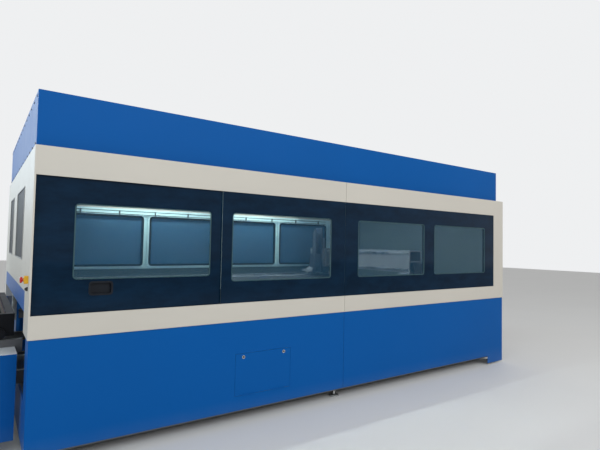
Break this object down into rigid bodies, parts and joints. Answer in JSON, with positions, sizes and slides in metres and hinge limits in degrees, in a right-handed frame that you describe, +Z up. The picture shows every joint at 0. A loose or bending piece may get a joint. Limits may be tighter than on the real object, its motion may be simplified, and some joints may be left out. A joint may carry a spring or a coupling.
{
  "type": "enclosed sheet laser cutting machine",
  "caption": "Fully enclosed sheet laser cutter: blue and white cabin with a dark glazed band, gantry with cutting head inside, and an exchange table with toothed slat pallets.",
  "frame": {"origin": "on the floor, under the middle of the cabin and the exchange table together", "axes": "+X along the machine from the exchange table to the cabin's far end, +Y from the operator's front to the back, +Z up"},
  "size_m": [8.65, 2.78, 2.35],
  "materials": {
    "white": "fine-textured powder coat, semi-matt",
    "blue": "fine-textured powder coat, satin",
    "band": "back-painted navy glass, gloss",
    "pane": "tinted laser-safe pane, gloss",
    "inner_frame": "dark powder coat, satin",
    "pale_inside": "powder coat, semi-matt",
    "frame_grey": "machine grey enamel, satin",
    "bed": "machine grey enamel, satin",
    "steel": "machined and oiled",
    "bright_steel": "ground and polished",
    "pallet_black": "black enamel, satin",
    "slat": "laser cut, scorched edges",
    "galvanised": "galvanised sheet, matt",
    "cover": "satin",
    "beam": "fine-blasted, satin",
    "motor": "black enamel, satin",
    "black": "matt",
    "head": "anodised, satin",
    "grip": "fine-grained, matt",
    "estop_red": "gloss",
    "estop_yellow": "satin",
    "nickel": "nickel plate",
    "key": "matt",
    "foot": "zinc plate"
  },
  "bodies": {
    "machine": {"base_frame": "frame_grey", "bed_beams": "bed", "bed_cross_beams": "bed", "blue_end_panels": "blue", "cabin_posts": "frame_grey", "cable_chain": "black", "cable_trough": "galvanised", "door_track": "steel", "drive_chains": "steel", "estop_housing": "estop_yellow", "front_frame_left": "white", "front_frame_right": "white", "front_glass_left": "band", "front_glass_right": "band", "gantry_rails": "bright_steel", "levelling_feet": "foot", "loading_door_guides": "galvanised", "loading_end_panel": "white", "loading_jambs": "blue", "lower_panel_left": "blue", "lower_panel_right": "blue", "pallet_drive_motor": "motor", "pallet_rails": "steel", "rear_frame": "white", "rear_glass": "band", "rear_lower_panels": "blue", "roof_frame": "frame_grey", "roof_panels": "blue", "scrap_trays": "galvanised", "table_covers": "cover", "table_frame": "frame_grey", "table_side_panels": "blue", "top_fascia": "blue", "white_end_panels": "white", "window_frames": "inner_frame", "window_panes": "pane"},
    "gantry": {"gantry_beam": "beam", "gantry_saddles": "bed", "gantry_motors": "motor", "carriage_rails": "bright_steel"},
    "front_pinion": {"pinion_front": "steel"},
    "rear_pinion": {"pinion_rear": "steel"},
    "carriage": {"y_carriage": "steel"},
    "head": {"cutting_head": "head"},
    "front_door": {"front_door_frame": "inner_frame", "front_door_glass": "band", "front_door_handle": "grip", "front_door_window": "pane"},
    "loading_door": {"loading_door": "blue"},
    "hatch": {"service_hatch": "blue"},
    "left_lock": {"hatch_lock_left": "nickel"},
    "right_lock": {"hatch_lock_right": "nickel"},
    "upper_pallet": {"upper_pallet_frame": "pallet_black", "upper_pallet_slats": "slat"},
    "lower_pallet": {"lower_pallet_frame": "pallet_black", "lower_pallet_slats": "slat"},
    "drive_shaft": {"drive_shaft": "steel"},
    "idlers": {"idler_sprockets": "steel"},
    "estop": {"estop_button": "estop_red"},
    "key": {"key_switch": "key"}
  },
  "joints": [
    {"name": "gantry_slide", "type": "slide", "parent": "machine", "child": "gantry", "axis": [1, 0, 0], "range_m": [-3.37, 0]},
    {"name": "front_pinion_turn", "type": "hinge", "parent": "gantry", "child": "front_pinion", "pos_m": [3.19, -1.0308, 0.97], "axis": [0, 0, 1], "range_deg": [-6441, 0]},
    {"name": "rear_pinion_turn", "type": "hinge", "parent": "gantry", "child": "rear_pinion", "pos_m": [3.19, 1.0308, 0.97], "axis": [0, 0, 1], "range_deg": [0, 6441]},
    {"name": "carriage_slide", "type": "slide", "parent": "gantry", "child": "carriage", "axis": [0, 1, 0], "range_m": [-1.3, 0]},
    {"name": "head_lift", "type": "slide", "parent": "carriage", "child": "head", "axis": [0, 0, 1], "range_m": [-0.3, 0]},
    {"name": "front_door_slide", "type": "slide", "parent": "machine", "child": "front_door", "axis": [1, 0, 0], "range_m": [0, 1.09]},
    {"name": "loading_door_lift", "type": "slide", "parent": "machine", "child": "loading_door", "axis": [0, 0, 1], "range_m": [-0.33, 0]},
    {"name": "hatch_hinge", "type": "hinge", "parent": "machine", "child": "hatch", "pos_m": [0.8925, -1.387, 0.216], "axis": [1, 0, 0], "range_deg": [0, 100]},
    {"name": "left_lock_turn", "type": "hinge", "parent": "hatch", "child": "left_lock", "pos_m": [0.705, -1.385, 0.512], "axis": [0, -1, 0], "range_deg": [0, 90]},
    {"name": "right_lock_turn", "type": "hinge", "parent": "hatch", "child": "right_lock", "pos_m": [1.08, -1.385, 0.512], "axis": [0, 1, 0], "range_deg": [0, 90]},
    {"name": "upper_pallet_slide", "type": "slide", "parent": "machine", "child": "upper_pallet", "axis": [1, 0, 0], "range_m": [0, 3.58]},
    {"name": "lower_pallet_slide", "type": "slide", "parent": "machine", "child": "lower_pallet", "axis": [1, 0, 0], "range_m": [-3.58, 0]},
    {"name": "drive_shaft_turn", "type": "hinge", "parent": "machine", "child": "drive_shaft", "pos_m": [-4.245, 0, 0.56], "axis": [0, 1, 0], "range_deg": [0, 3734]},
    {"name": "idler_turn", "type": "hinge", "parent": "machine", "child": "idlers", "pos_m": [-0.855, 0, 0.56], "axis": [0, 1, 0], "range_deg": [0, 3734]},
    {"name": "estop_push", "type": "slide", "parent": "machine", "child": "estop", "axis": [1, 0, 0], "range_m": [0, 0.004]},
    {"name": "key_turn", "type": "hinge", "parent": "machine", "child": "key", "pos_m": [-0.775, -1.278, 1.092], "axis": [1, 0, 0], "range_deg": [0, 90]}
  ],
  "couplings": [
    {"joint": "front_pinion_turn", "follows": "gantry_slide", "rad_per_m": 33.333},
    {"joint": "rear_pinion_turn", "follows": "gantry_slide", "rad_per_m": -33.333},
    {"joint": "lower_pallet_slide", "follows": "upper_pallet_slide", "ratio": -1},
    {"joint": "drive_shaft_turn", "follows": "upper_pallet_slide", "rad_per_m": 18.182},
    {"joint": "idler_turn", "follows": "upper_pallet_slide", "rad_per_m": 18.182}
  ]
}
